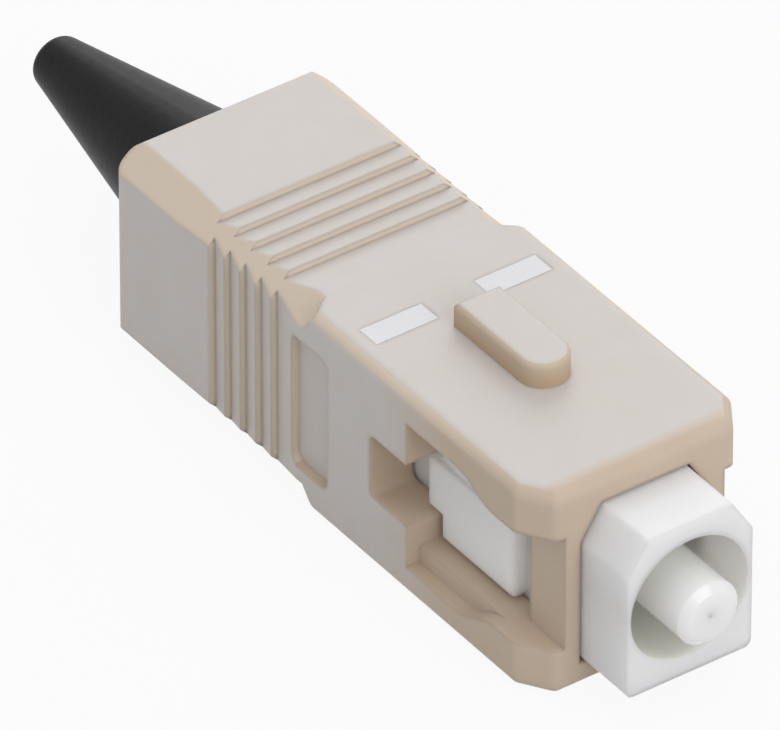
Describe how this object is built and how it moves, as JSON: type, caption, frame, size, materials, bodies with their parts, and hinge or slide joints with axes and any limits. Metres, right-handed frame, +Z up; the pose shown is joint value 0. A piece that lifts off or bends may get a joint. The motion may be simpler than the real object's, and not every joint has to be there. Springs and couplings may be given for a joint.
{
  "type": "sc fibre connector",
  "caption": "Square push-pull fibre plug with a sliding keyed housing, a white latch frame, a sprung ceramic ferrule and a tapered boot.",
  "frame": {"origin": "on the surface it rests on, under the middle of the bounding box", "axes": "+Y runs from the ferrule's tip to the boot's end, +Z is up through the key, +X is to the right seen from the ferrule's side looking along +Y"},
  "size_m": [0.009, 0.0388, 0.0095],
  "materials": {
    "housing_plastic": "satin moulded beige",
    "mark_white": "matt white",
    "frame_white": "satin moulded white",
    "ceramic_white": "polished white ceramic",
    "flange_metal": "nickel plated",
    "liner_plastic": "satin",
    "spring_steel": "drawn wire",
    "rear_metal": "nickel plated",
    "boot_rubber": "fine matt"
  },
  "bodies": {
    "housing": {"outer_housing": "housing_plastic", "engagement_marks": "mark_white"},
    "plug": {"plug_frame": "frame_white", "rear_body": "rear_metal", "boot": "boot_rubber", "ferrule_spring": "spring_steel"},
    "ferrule_group": {"ferrule": "ceramic_white", "ferrule_flange": "flange_metal", "flange_liner": "liner_plastic"}
  },
  "joints": [
    {"name": "housing_float", "type": "slide", "parent": "housing", "child": "plug", "axis": [0, 1, 0], "range_m": [-0.00105, 0.00025]},
    {"name": "ferrule_float", "type": "slide", "parent": "plug", "child": "ferrule_group", "axis": [0, 1, 0], "range_m": [0, 0.001], "stiffness_N_per_m": 1500, "deforming": ["ferrule_spring"]}
  ]
}
